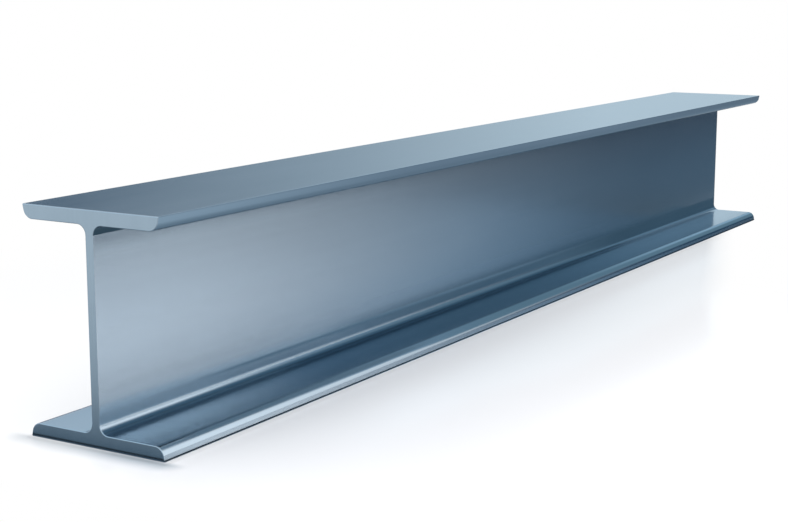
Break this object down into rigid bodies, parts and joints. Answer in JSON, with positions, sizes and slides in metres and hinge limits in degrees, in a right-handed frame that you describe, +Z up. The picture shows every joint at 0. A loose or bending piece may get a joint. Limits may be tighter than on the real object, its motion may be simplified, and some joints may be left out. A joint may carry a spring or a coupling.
{
  "type": "steel h-beam",
  "caption": "Length of hot-rolled steel H-section with parallel flanges, rounded toes and filleted roots, sawn square at both ends, for use as a beam or column.",
  "frame": {"origin": "middle of the lower flange's underside, halfway along the beam", "axes": "+X along the beam, +Y across the flanges, +Z up the web from the lower to the upper flange"},
  "size_m": [3, 0.2932, 0.405],
  "materials": {
    "rolled_steel": "satin"
  },
  "bodies": {
    "root": {"beam": "rolled_steel"}
  },
  "joints": []
}
